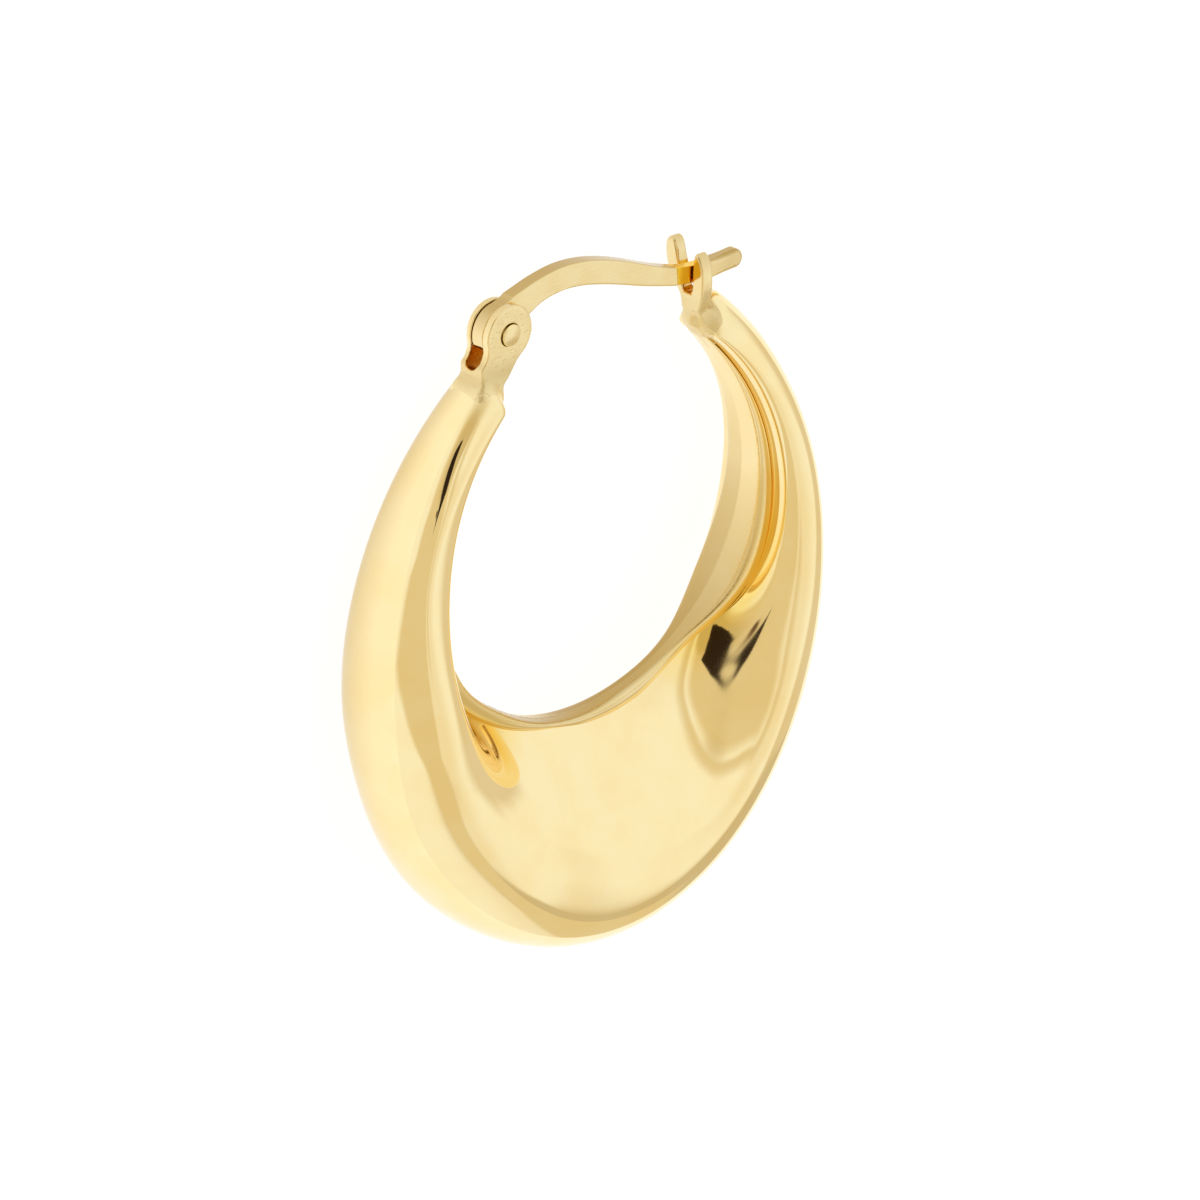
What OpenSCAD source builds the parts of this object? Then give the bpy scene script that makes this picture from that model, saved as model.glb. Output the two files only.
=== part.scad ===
// Puffed hoop earring: a hollow crescent of polished gold with a scooped
// face on each side, a two-eared hinge on one leg, a fork catch on the
// other, and a flat ear wire that swings on a riveted pin.
//
// The earring is drawn upright first: X runs across the hoop from the
// hinge leg to the catch leg, Y is its depth with the front face at -Y,
// and Z is up. The last step lays it on its back face, as it rests.

/* [Hoop outline] */
// Half width of the hoop across its legs
outer_rx = 12.5; // [11:0.1:14]
// Distance from the hoop's centre to its lowest point
outer_rz = 14.85; // [13:0.05:16]
// Angle from the lowest point to the end of each leg
leg_end = 152.5; // [150:0.5:155]
// Wall of the hollow hoop
wall = 0.22; // [0.2:0.01:0.3]
// Depth of the groove beside the inner lip
groove_dip = 0.12; // [0.05:0.01:0.15]

/* [Hinge] */
// Pin centre, distance left of the hoop's centre
pin_x = 5.44; // [5.4:0.02:5.5]
// Pin centre, height above the hoop's centre
pin_z = 14.11; // [14.05:0.01:14.2]
// Diameter of the pin
pin_d = 0.84; // [0.76:0.02:0.88]
// Diameter of the pin's flattened heads
pin_head_d = 0.94; // [0.92:0.02:1.1]
// Height of each pin head above the ear
pin_head_h = 0.14; // [0.05:0.01:0.2]
// Thickness of each ear
ear_t = 0.36; // [0.32:0.02:0.45]
// Radius of the rounded ears
ear_r = 1.25; // [1.2:0.01:1.3]
// Width of the slot between the ears
ear_gap = 0.7; // [0.68:0.01:0.76]
// Depth of the slot below the pin centre
ear_slot = 1.85; // [1.7:0.05:1.95]
// Lean of the slot from upright
slot_lean = 25; // [20:1:28]
// Radius of the solder round the foot of the hinge
hinge_solder_r = 0.9; // [0.8:0.05:0.95]

/* [Ear wire] */
// Thickness of the flat wire
wire_t = 0.62; // [0.56:0.01:0.64]
// Radius of the wire's eye round the pin
eye_r = 1.17; // [1.05:0.01:1.18]
// Distance from the pin centre to the flat on the eye's heel
heel = 1.03; // [0.95:0.01:1.1]
// Running clearance all round the pin
eye_clear = 0.03; // [0.02:0.01:0.05]
// Thickness left at the notched neck
neck_t = 0.44; // [0.4:0.01:0.5]
// Where the neck starts
neck_x0 = 4.5; // [4.4:0.05:4.7]
// Where the neck ends
neck_x1 = 6.12; // [6.1:0.02:6.2]

/* [Catch] */
// Side of the fork that faces the hinge
fork_x = 5.36; // [5.3:0.02:5.4]
// Thickness of the fork plate
fork_t = 0.62; // [0.56:0.02:0.64]
// Width of the fork's slot
fork_slot = 0.6; // [0.56:0.02:0.7]
// Height of the centre of the slot's round bottom
fork_slot_z = 12.95; // [12.85:0.05:13]
// Radius of the solder round the foot of the fork
catch_solder_r = 0.65; // [0.6:0.05:0.75]

/* [Rest] */
// Tilt of the hoop's plane as it lies on its back face and bent prong
rest_tilt = 6.05; // [5.5:0.05:7]
// Height of the hoop's centre above the surface it lies on
rest_height = 2.88; // [2.5:0.005:3.5]
// Distance of the hoop's centre from the middle of its footprint
rest_shift = -0.61; // [-1:0.01:2]

/* [Hidden] */
gold = [0.90, 0.74, 0.42];
gold_matt = [0.86, 0.76, 0.48];

// Sections of the hoop, a row for each, the same on both legs.
// angle: degrees from the lowest point
// inner: distance from the hoop's centre to the inner wall
// crest: half depth of the hoop at the crest of its face
// band:  width of the rounded outer band, crest to outline
// lip:   half depth of the inner wall
// groove: distance from the inner wall to the groove
// rise:  angle at which the face leaves the groove
// leave: how straight the face leaves the groove
// level: how far the crest stays level towards the groove
//        angle inner  crest band lip  groove rise leave level
SECTIONS = [
         [  0,  4.65,  3.70, 2.45, 0.65, 0.40,  10, 0.60, 0.52],
         [ 40,  5.10,  3.70, 2.90, 0.40, 0.65,   1, 0.30, 0.30],
         [ 80,  7.25,  3.05, 2.20, 0.85, 1.00,  61, 0.44, 0.66],
         [115,  9.95,  2.10, 1.20, 1.20, 0.60,  85, 0.56, 0.95],
         [150, 12.05,  1.40, 1.25, 0.50, 0.20,  67, 0.46, 0.62]];
INNER = 1; CREST = 2; BAND = 3; LIP = 4; GROOVE = 5; RISE = 6; LEAVE = 7; LEVEL = 8;

// Centre line of the ear wire, a row for each place along it.
//        x      z     height
WIRE = [[-4.70, 14.86, 1.40],
        [-3.45, 15.32, 1.12],
        [-2.20, 15.50, 1.08],
        [-1.00, 15.41, 1.07],
        [ 0.20, 15.13, 1.06],
        [ 1.40, 14.74, 1.01],
        [ 2.60, 14.29, 0.92],
        [ 3.60, 13.95, 0.83],
        [ 4.60, 13.66, 0.78],
        [ 5.60, 13.50, 0.77],
        [ 6.60, 13.44, 0.77],
        [ 7.96, 13.46, 0.78]];

// Stem of the hinge bracket, going down its inner side and up its outer
// side, measured from the pin centre.
//          x      z
STEM = [[ 1.24, -0.05],
        [ 1.12, -0.35],
        [ 0.84, -0.74],
        [ 0.36, -1.40],
        [ 0.02, -1.88],
        [-0.26, -2.24],
        [-0.34, -2.90],
        [-1.20, -3.05],
        [-1.66, -2.30],
        [-1.47, -1.85],
        [-1.53, -1.60],
        [-1.58, -1.35],
        [-1.54, -1.15],
        [-1.34, -0.93],
        [-1.24, -0.70],
        [-1.24,  0.10]];

// Outline of the fork seen from the hinge, going round it.
// The back prong is bent outwards a little at its tip.
//           y      z
FORK = [[-0.62, 11.00],
        [-0.70, 11.90],
        [-0.88, 12.50],
        [-0.90, 13.60],
        [-0.84, 14.15],
        [-0.66, 14.42],
        [-0.46, 14.44],
        [-0.32, 14.20],
        [-fork_slot/2, 13.80],
        [-fork_slot/2, fork_slot_z],
        [ fork_slot/2, fork_slot_z],
        [ fork_slot/2, 13.20],
        [ 0.72, 14.05],
        [ 0.88, 14.50],
        [ 1.06, 14.70],
        [ 1.26, 14.66],
        [ 1.36, 14.42],
        [ 1.22, 13.85],
        [ 0.92, 13.05],
        [ 0.70, 12.50],
        [ 0.52, 11.90],
        [ 0.46, 11.00]];

// ---- smooth curve through a column of a table ----
function span(rows, a, k = 0) =
    (k >= len(rows) - 2 || a < rows[k + 1][0]) ? k : span(rows, a, k + 1);
function grade(rows, c, k, flat) =
    k == 0 ? (flat ? 0 : (rows[1][c] - rows[0][c]) / (rows[1][0] - rows[0][0]))
  : k == len(rows) - 1 ? (rows[k][c] - rows[k - 1][c]) / (rows[k][0] - rows[k - 1][0])
  : (rows[k + 1][c] - rows[k - 1][c]) / (rows[k + 1][0] - rows[k - 1][0]);
function blend(rows, c, a, flat) =
    let (k = span(rows, a), w = rows[k + 1][0] - rows[k][0],
         t = min((a - rows[k][0]) / w, 1), over = max(a - rows[k + 1][0], 0),
         m0 = grade(rows, c, k, flat), m1 = grade(rows, c, k + 1, flat))
    (1 + 2*t)*(1 - t)*(1 - t)*rows[k][c] + t*(1 - t)*(1 - t)*w*m0
    + t*t*(3 - 2*t)*rows[k + 1][c] + t*t*(t - 1)*w*m1 + over*m1;
function at(a, c) = blend(SECTIONS, c, abs(a), true);

// ---- one section of the hoop ----
// Distance from the hoop's centre to its outline at an angle
function outline(a) = 1 / sqrt(pow(sin(a)/outer_rx, 2) + pow(cos(a)/outer_rz, 2));
function bez(p, t) = pow(1 - t, 3)*p[0] + 3*t*pow(1 - t, 2)*p[1]
                   + 3*t*t*(1 - t)*p[2] + pow(t, 3)*p[3];
// Front half of the section, from the seam on the inner wall over the lip,
// groove, face and crest to the outermost point, as [distance, depth];
// w moves it inwards by the wall for the hollow.
function half_section(a, w) =
    let (inner = at(a, INNER), thick = outline(a) - inner,
         rise = at(a, RISE), lip = at(a, LIP) - w,
         groove = at(a, GROOVE) + w*sin(max(rise, 50)),
         start = w, dip = lip - groove_dip,
         lip_w = start + (groove - start)*0.6,
         crest = at(a, CREST) - w, crest_q = thick - at(a, BAND) + 0.5*w,
         band = at(a, BAND) - 1.5*w,
         reach = sqrt(pow(crest_q - groove, 2) + pow(crest - dip, 2)),
         pull = at(a, LEAVE)*reach,
         pq = [groove, groove + pull*cos(rise), crest_q - at(a, LEVEL)*(crest_q - groove), crest_q],
         py = [dip, dip + pull*sin(rise), crest, crest])
    concat(
        [for (t = [0, 30, 55, 75, 90]) [inner + start + (lip_w - start)*(1 - sqrt(cos(t))), lip*sqrt(sin(t))]],
        [for (t = [45, 90]) [inner + lip_w + (groove - lip_w)*sin(t), dip + (lip - dip)*cos(t)]],
        [for (t = [1:7]) [inner + bez(pq, t/7), bez(py, t/7)]],
        [for (t = [18:18:90]) [inner + crest_q + band*sin(t), crest*cos(t)]]);
// The whole section as a ring, front half then back half
function ring(a, w, s = 1) =
    let (h = half_section(a, w), n = len(h),
         mid = (h[0][0] + h[n - 1][0]) / 2,
         all = concat(h, [for (k = [n - 2:-1:1]) [h[k][0], -h[k][1]]]))
    [for (p = all) let (q = mid + (p[0] - mid)*s)
        [q*sin(a), -p[1]*s, -q*cos(a)]];

// A closed skin through rings of equal length
module skin(rings) {
    n = len(rings); m = len(rings[0]);
    polyhedron(
        points = [for (r = rings) each r],
        faces = concat(
            [[for (k = [0:m - 1]) k]],
            [for (j = [0:n - 2], k = [0:m - 1]) each
                [[j*m + k, (j + 1)*m + k, (j + 1)*m + (k + 1) % m],
                 [j*m + k, (j + 1)*m + (k + 1) % m, j*m + (k + 1) % m]]],
            [[for (k = [m - 1:-1:0]) (n - 1)*m + k]]));
}

steps = 20;
// Rounding of the leg ends: fraction of the section left near each end
END_ROUND = [[0.8, 0.97], [1.6, 0.87], [2.3, 0.66], [2.7, 0.42]];
full_end = leg_end - 2.7;
rings_out = concat(
    [for (k = [3:-1:0]) ring(-full_end - END_ROUND[k][0], 0, END_ROUND[k][1])],
    [for (k = [-steps:steps]) ring(k*full_end/steps, 0)],
    [for (k = [0:3]) ring(full_end + END_ROUND[k][0], 0, END_ROUND[k][1])]);
hollow_end = full_end - 2;
rings_in = concat(
    [ring(-hollow_end - 1, wall, 0.6)],
    [for (k = [-steps:steps]) ring(k*hollow_end/steps, wall)],
    [ring(hollow_end + 1, wall, 0.6)]);

module hoop_shell() {
    difference() {
        skin(rings_out);
        skin(rings_in);
    }
}

// Solid of a thickness centred on the hoop's middle plane
module across(t) {
    rotate([90, 0, 0]) linear_extrude(height = t, center = true) children();
}

// Two ears on a stem, slotted for the wire's eye and drilled for the pin
module hinge_bracket() {
    translate([-pin_x, 0, pin_z]) difference() {
        union() {
            across(2*ear_t + ear_gap) circle(r = ear_r, $fn = 64);
            across(2*ear_t + ear_gap) polygon(STEM);
        }
        rotate([0, slot_lean, 0]) translate([-3, 0, -ear_slot + ear_gap/2]) {
            translate([0, -ear_gap/2, 0]) cube([6, ear_gap, 6]);
            rotate([0, 90, 0]) cylinder(d = ear_gap, h = 6, $fn = 32);
        }
        rotate([90, 0, 0]) cylinder(d = pin_d, h = 4, center = true, $fn = 48);
    }
}

// Mound of solder at the foot of a fitting
module solder(x, z, r) {
    translate([x, 0, z]) sphere(r = r, $fn = 32);
}

// Fork plate that the wire's neck drops into
module catch_fork() {
    difference() {
        translate([fork_x, 0, 0]) rotate([90, 0, 90])
            linear_extrude(height = fork_t) polygon(FORK);
        translate([fork_x - 1, 0, fork_slot_z]) rotate([0, 90, 0])
            cylinder(d = fork_slot, h = 3, $fn = 32);
    }
}

// Lays the upright earring on its back face
module rested() {
    translate([0, rest_shift, rest_height]) rotate([-90 - rest_tilt, 0, 0]) children();
}

// Hollow hoop with its soldered bracket and fork, one solid
module hoop_body() {
    color(gold) rested() union() {
        hoop_shell();
        hinge_bracket();
        solder(-6.42, 11.45, hinge_solder_r);
        catch_fork();
        solder(5.85, 11.15, catch_solder_r);
    }
}

// Riveted pin through both ears
module hinge_pin() {
    y0 = ear_gap/2 + ear_t;
    color(gold_matt) rested() translate([-pin_x, 0, pin_z]) rotate([90, 0, 0]) union() {
        cylinder(d = pin_d, h = 2*y0, center = true, $fn = 48);
        for (s = [-1, 1]) translate([0, 0, s*(y0 + pin_head_h/2)])
            cylinder(d = pin_head_d, h = pin_head_h, center = true, $fn = 48);
    }
}

// Outline of the flat wire in the hoop's middle plane
function wire_dir(x) = let (e = 0.05,
    d = [2*e, blend(WIRE, 1, x + e, false) - blend(WIRE, 1, x - e, false)]) d / norm(d);
function wire_edge(x, s) = let (d = wire_dir(x))
    [x, blend(WIRE, 1, x, false)] + s*blend(WIRE, 2, x, false)/2*[-d[1], d[0]];
wire_xs = [for (k = [0:30]) WIRE[0][0] + k*(WIRE[11][0] - WIRE[0][0])/30];

module wire_blank() {
    across(wire_t) polygon(concat(
        [[-pin_x + 0.05, pin_z + eye_r - 0.06]],
        [for (x = wire_xs) wire_edge(x, 1)],
        [for (k = [30:-1:0]) wire_edge(wire_xs[k], -1)],
        [[-pin_x + 0.9, pin_z - 0.2]]));
    across(wire_t) translate([WIRE[11][0], WIRE[11][1]]) circle(d = WIRE[11][2], $fn = 32);
    across(wire_t) translate([-pin_x - 0.04, pin_z - 0.02]) circle(r = eye_r, $fn = 64);
}

// Flat ear wire with an eye at the hinge, a notched neck and a tongue
module ear_wire() {
    color(gold) rested() difference() {
        union() wire_blank();
        translate([-pin_x, 0, pin_z]) rotate([90, 0, 0])
            cylinder(d = pin_d + 2*eye_clear, h = 4, center = true, $fn = 48);
        translate([-pin_x, 0, pin_z]) rotate([0, 33, 0])
            translate([-2, -1, -heel - 2]) cube([2.8, 2, 2]);
        for (s = [-1, 1]) translate([neck_x0, s*(neck_t/2 + 0.5), 12.5])
            translate([0, -0.5, 0]) cube([neck_x1 - neck_x0, 1, 2.5]);
    }
}

hoop_body();
hinge_pin();
ear_wire();
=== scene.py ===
"""Looks of the puffed hoop earring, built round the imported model.

The shapes are worked out upright, in millimetres: X across the hoop, Y from
the front face to the back face, Z up. rest() then lays them down as the CAD
does and gives metres.
"""
import math

import bpy
import numpy as np
from mathutils import Matrix, Vector
from mathutils.bvhtree import BVHTree


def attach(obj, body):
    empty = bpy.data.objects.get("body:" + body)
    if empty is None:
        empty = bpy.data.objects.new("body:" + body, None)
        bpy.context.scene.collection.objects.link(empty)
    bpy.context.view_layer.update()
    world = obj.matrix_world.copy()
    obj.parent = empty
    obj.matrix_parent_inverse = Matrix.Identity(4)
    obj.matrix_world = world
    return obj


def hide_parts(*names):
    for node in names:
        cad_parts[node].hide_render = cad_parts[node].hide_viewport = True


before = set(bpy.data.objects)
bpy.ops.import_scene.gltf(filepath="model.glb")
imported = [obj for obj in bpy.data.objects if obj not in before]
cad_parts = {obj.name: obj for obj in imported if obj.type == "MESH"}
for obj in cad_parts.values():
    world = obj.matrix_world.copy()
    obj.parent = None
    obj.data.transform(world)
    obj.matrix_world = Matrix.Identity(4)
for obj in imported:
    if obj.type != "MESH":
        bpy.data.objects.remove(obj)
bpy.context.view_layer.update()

# ---------------------------------------------------------------- the frame
REST_TILT, REST_HEIGHT, REST_SHIFT = 6.05, 2.88, -0.61
_t = math.radians(-90 - REST_TILT)
LAY = np.array([[1, 0, 0], [0, math.cos(_t), -math.sin(_t)], [0, math.sin(_t), math.cos(_t)]])


def turn(v):
    """A direction of the upright hoop, as it lies."""
    return np.asarray(v, float) @ LAY.T


def rest(p):
    """Points of the upright hoop in mm, as it lies, in metres."""
    return (turn(p) + np.array([0, REST_SHIFT, REST_HEIGHT])) * 0.001


# ------------------------------------------------- the hoop's own functions
OUTER_RX, OUTER_RZ, LEG_END = 12.5, 14.85, 152.5
GROOVE_DIP, BACK = 0.12, 0.974
#            angle inner crest band  lip groove rise fpull cpull mid_q mid_y
SECTIONS = [[-150, 12.18, 1.46, 1.31, 0.56, 0.19, 75, 0.37, 0.52, 0.16, 0.76],
            [-115, 9.90, 2.03, 1.12, 0.92, 0.43, 93, 0.43, 0.60, 0.02, 0.94],
            [-85, 7.76, 2.98, 2.06, 0.87, 0.92, 64, 0.41, 0.48, 0.17, 0.80],
            [-60, 6.00, 3.18, 2.55, 0.69, 0.72, 36, 0.30, 0.42, 0.41, 0.65],
            [-30, 4.98, 3.71, 2.42, 0.59, 0.31, 35, 0.21, 0.53, 0.44, 0.72],
            [0, 4.57, 3.69, 2.48, 0.55, 0.54, 13, 0.21, 0.49, 0.47, 0.68],
            [30, 4.79, 3.74, 2.73, 0.45, 0.85, 11, 0.27, 0.28, 0.64, 0.51],
            [60, 5.90, 3.52, 2.73, 0.54, 0.62, 35, 0.19, 0.24, 0.34, 0.48],
            [85, 7.60, 2.91, 2.01, 1.33, 1.07, 73, 0.30, 0.34, 0.12, 0.68],
            [115, 9.92, 2.13, 1.39, 1.08, 0.66, 97, 0.37, 0.65, -0.05, 0.91],
            [150, 12.16, 1.22, 1.66, 0.54, 0.08, 75, 0.36, 0.54, 0.17, 0.76]]
INNER, CREST, BAND, LIP, GROOVE, RISE, FACE_PULL, CREST_PULL, MID_Q, MID_Y = range(1, 11)
#          x      z     height of the flat ear wire
WIRE = [[-4.70, 14.86, 1.40],
        [-3.45, 15.32, 1.12],
        [-2.20, 15.50, 1.08],
        [-1.00, 15.41, 1.07],
        [0.20, 15.13, 1.06],
        [1.40, 14.74, 1.01],
        [2.60, 14.29, 0.92],
        [3.60, 13.95, 0.83],
        [4.60, 13.66, 0.78],
        [5.60, 13.50, 0.78],
        [6.60, 13.46, 0.80],
        [7.93, 13.50, 0.84]]
PIN_X, PIN_Z, PIN_R, HEAD_R, HEAD_H = -5.44, 14.11, 0.42, 0.47, 0.14
EAR_R, EAR_T, EAR_GAP, EAR_SLOT, SLOT_LEAN = 1.25, 0.36, 0.70, 1.85, 25
EYE_R, EYE_CLEAR, HEEL, WIRE_T = 1.17, 0.03, 1.03, 0.62
NECK_T, NECK_X0, NECK_X1 = 0.44, 4.5, 6.12
FORK_X, FORK_T, FORK_SLOT, FORK_SLOT_Z = 5.36, 0.62, 0.6, 12.95
#         x      z     round the foot of the hinge, from the pin centre
STEM = [[1.00, 0.05], [1.06, -0.40], [0.84, -0.74], [0.36, -1.40], [0.02, -1.88],
        [-0.26, -2.24], [-0.34, -2.90], [-1.20, -3.05], [-1.60, -2.30], [-1.47, -1.85],
        [-1.50, -1.60], [-1.55, -1.35], [-1.52, -1.15], [-1.34, -0.93], [-1.22, -0.66],
        [-1.17, -0.35], [-1.00, 0.05]]
#         y      z     round the fork, seen from the hinge
FORK = [[-0.62, 11.00], [-0.70, 11.90], [-0.86, 12.50], [-0.91, 13.10], [-0.87, 13.80],
        [-0.72, 14.22], [-0.52, 14.46], [-0.36, 14.42], [-0.30, 14.10], [-0.30, 12.95],
        [-0.25, 12.78], [-0.14, 12.68], [0.00, 12.65], [0.14, 12.68], [0.25, 12.78],
        [0.30, 12.95], [0.36, 13.25], [0.60, 14.00], [0.70, 14.45], [0.84, 14.74],
        [1.04, 14.82], [1.24, 14.70], [1.34, 14.42], [1.28, 13.95], [1.14, 13.50],
        [0.90, 13.08], [0.62, 12.74], [0.40, 12.42], [0.31, 11.95], [0.36, 11.00]]


def hermite(rows, col, x):
    """Smooth curve through a column of a table, as in the CAD."""
    rows = np.asarray(rows, float)
    k, v = rows[:, 0], rows[:, col]
    m = np.empty(len(k))
    m[0] = (v[1] - v[0]) / (k[1] - k[0])
    m[-1] = (v[-1] - v[-2]) / (k[-1] - k[-2])
    m[1:-1] = (v[2:] - v[:-2]) / (k[2:] - k[:-2])
    x = np.asarray(x, float)
    i = np.clip(np.searchsorted(k, x, side="right") - 1, 0, len(k) - 2)
    w = k[i + 1] - k[i]
    t = np.minimum((x - k[i]) / w, 1)
    over = np.maximum(x - k[-1], 0)
    t = np.maximum(t, 0)
    under = np.minimum(x - k[0], 0)
    return ((1 + 2 * t) * (1 - t) ** 2 * v[i] + t * (1 - t) ** 2 * w * m[i]
            + t * t * (3 - 2 * t) * v[i + 1] + t * t * (t - 1) * w * m[i + 1] + over * m[-1] + under * m[0])


def at(a, col):
    return hermite(SECTIONS, col, a)


def outline(a):
    a = math.radians(a)
    return 1 / math.sqrt((math.sin(a) / OUTER_RX) ** 2 + (math.cos(a) / OUTER_RZ) ** 2)


N_LIP, N_DIP, N_FACE, N_BAND = 16, 7, 34, 26
I_DIP = N_LIP + N_DIP          # index of the groove's bottom in half a section
I_CREST = I_DIP + N_FACE       # index of the crest


def half_section(a):
    """Front half of a section: [distance from the hoop's centre, depth]."""
    inner = float(at(a, INNER))
    thick = outline(a) - inner
    rise, lip, groove = math.radians(at(a, RISE)), float(at(a, LIP)), float(at(a, GROOVE))
    dip, lip_w = lip - GROOVE_DIP, 0.6 * groove
    crest, band = float(at(a, CREST)), float(at(a, BAND))
    crest_q = thick - band
    reach = math.hypot(crest_q - groove, crest - dip)
    pull, wide = float(at(a, FACE_PULL)) * reach, crest_q - groove
    q, y = [], []
    for k in range(N_LIP + 1):
        f = k / N_LIP * math.pi / 2
        r = (math.cos(f) ** 4 + math.sin(f) ** 4) ** -0.25
        q.append(lip_w * (1 - r * math.cos(f)))
        y.append(lip * r * math.sin(f))
    for k in range(1, N_DIP + 1):
        f = k / N_DIP * math.pi / 2
        q.append(lip_w + (groove - lip_w) * math.sin(f))
        y.append(dip + (lip - dip) * math.cos(f))
    bq = (groove, groove + pull * math.cos(rise), groove + float(at(a, MID_Q)) * wide,
          crest_q - float(at(a, CREST_PULL)) * wide, crest_q)
    by = (dip, dip + pull * math.sin(rise), dip + float(at(a, MID_Y)) * (crest - dip), crest, crest)
    for k in range(1, N_FACE + 1):
        t = (k / N_FACE) ** 1.1
        w = ((1 - t) ** 4, 4 * t * (1 - t) ** 3, 6 * t * t * (1 - t) ** 2, 4 * t ** 3 * (1 - t), t ** 4)
        q.append(sum(i * j for i, j in zip(w, bq)))
        y.append(sum(i * j for i, j in zip(w, by)))
    for k in range(1, N_BAND + 1):
        f = k / N_BAND * math.pi / 2
        q.append(crest_q + band * math.sin(f))
        y.append(crest * math.cos(f))
    return inner + np.array(q), np.array(y)


def ring(a, s=1.0):
    q, y = half_section(a)
    # a low uneven seam runs along the middle of the inner wall
    q[0] -= 0.014 * (1 + 0.35 * math.sin(1.9 * a) + 0.3 * math.sin(4.7 * a + 1) + 0.2 * math.sin(9.1 * a))
    mid = (q[0] + q[-1]) / 2
    q = mid + (q - mid) * s
    q = np.concatenate([q, q[-2:0:-1]])
    y = np.concatenate([y, -BACK * y[-2:0:-1]]) * s
    a = math.radians(a)
    return np.stack([q * math.sin(a), -y, -q * math.cos(a)], -1)


def hoop_rings():
    """Angles and scales of the rings: even along the hoop, closer round the leg ends."""
    full = LEG_END - 2.7
    ends = [(full + 2.86 * math.sin(k / 12 * math.pi / 2)) for k in range(1, 13)]
    size = [max(1 - ((e - full) / 2.9) ** 2.2, 0) ** 0.5 for e in ends]
    a = np.linspace(-full, full, 241)
    return ([(-e, s) for e, s in zip(ends[::-1], size[::-1])] + [(x, 1.0) for x in a]
            + list(zip(ends, size)))


def mesh_object(name, verts, faces, smooth=True, normals=None, metres=None):
    me = bpy.data.meshes.new(name)
    me.from_pydata((rest(verts) if metres is None else metres).tolist(), [],
                   faces.tolist() if isinstance(faces, np.ndarray) else faces)
    me.validate()
    me.polygons.foreach_set("use_smooth", [smooth] * len(me.polygons))
    me.update()
    if normals is not None:
        me.normals_split_custom_set_from_vertices(turn(normals).tolist())
    ob = bpy.data.objects.new(name, me)
    bpy.context.scene.collection.objects.link(ob)
    return ob


def paint(ob, name, values):
    """A number for each vertex, which the materials read."""
    layer = ob.data.attributes.new(name, "FLOAT", "POINT")
    layer.data.foreach_set("value", np.asarray(values, np.float32))


# --------------------------------------------------------- distance fields
def smooth_loop(points, steps=8):
    """Closed curve through points (Catmull-Rom)."""
    p = np.asarray(points, float)
    out = []
    for i in range(len(p)):
        a, b, c, d = p[i - 1], p[i], p[(i + 1) % len(p)], p[(i + 2) % len(p)]
        for k in range(steps):
            t = k / steps
            out.append(0.5 * (2 * b + (c - a) * t + (2 * a - 5 * b + 4 * c - d) * t * t
                              + (3 * b - a - 3 * c + d) * t ** 3))
    return np.array(out)


def poly_distance(x, z, pts):
    """Signed distance to a closed outline, negative inside."""
    best = np.full(x.shape, 1e9)
    inside = np.zeros(x.shape, bool)
    b = np.roll(pts, -1, 0)
    for (x0, z0), (x1, z1) in zip(pts, b):
        ex, ez = x1 - x0, z1 - z0
        wx, wz = x - x0, z - z0
        t = np.clip((wx * ex + wz * ez) / (ex * ex + ez * ez + 1e-12), 0, 1)
        best = np.minimum(best, (wx - ex * t) ** 2 + (wz - ez * t) ** 2)
        cross = (z0 > z) != (z1 > z)
        if abs(ez) > 1e-12:
            inside ^= cross & (x < ex * (z - z0) / ez + x0)
    return np.sqrt(best) * np.where(inside, -1, 1)


def smin(a, b, k):
    h = np.maximum(k - np.abs(a - b), 0) / k
    return np.minimum(a, b) - h * h * k / 4


def smax(a, b, k):
    return -smin(-a, -b, k)


def slab(d2, w, half, r):
    """An outline's distance d2 pushed to a half thickness, edges rounded by r."""
    a, b = d2 + r, np.abs(w) - half + r
    return np.minimum(np.maximum(a, b), 0) + np.hypot(np.maximum(a, 0), np.maximum(b, 0)) - r


def largest_part(v, quads):
    """The biggest connected piece of a mesh, without loose specks."""
    label = np.arange(len(v))
    while True:
        new = label.copy()
        np.minimum.at(new, quads.ravel(), np.repeat(label[quads].min(1), 4))
        new = new[new]
        if (new == label).all():
            break
        label = new
    keep = label == np.bincount(label).argmax()
    number = np.cumsum(keep) - 1
    return v[keep], number[quads[keep[quads[:, 0]]]]


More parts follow.
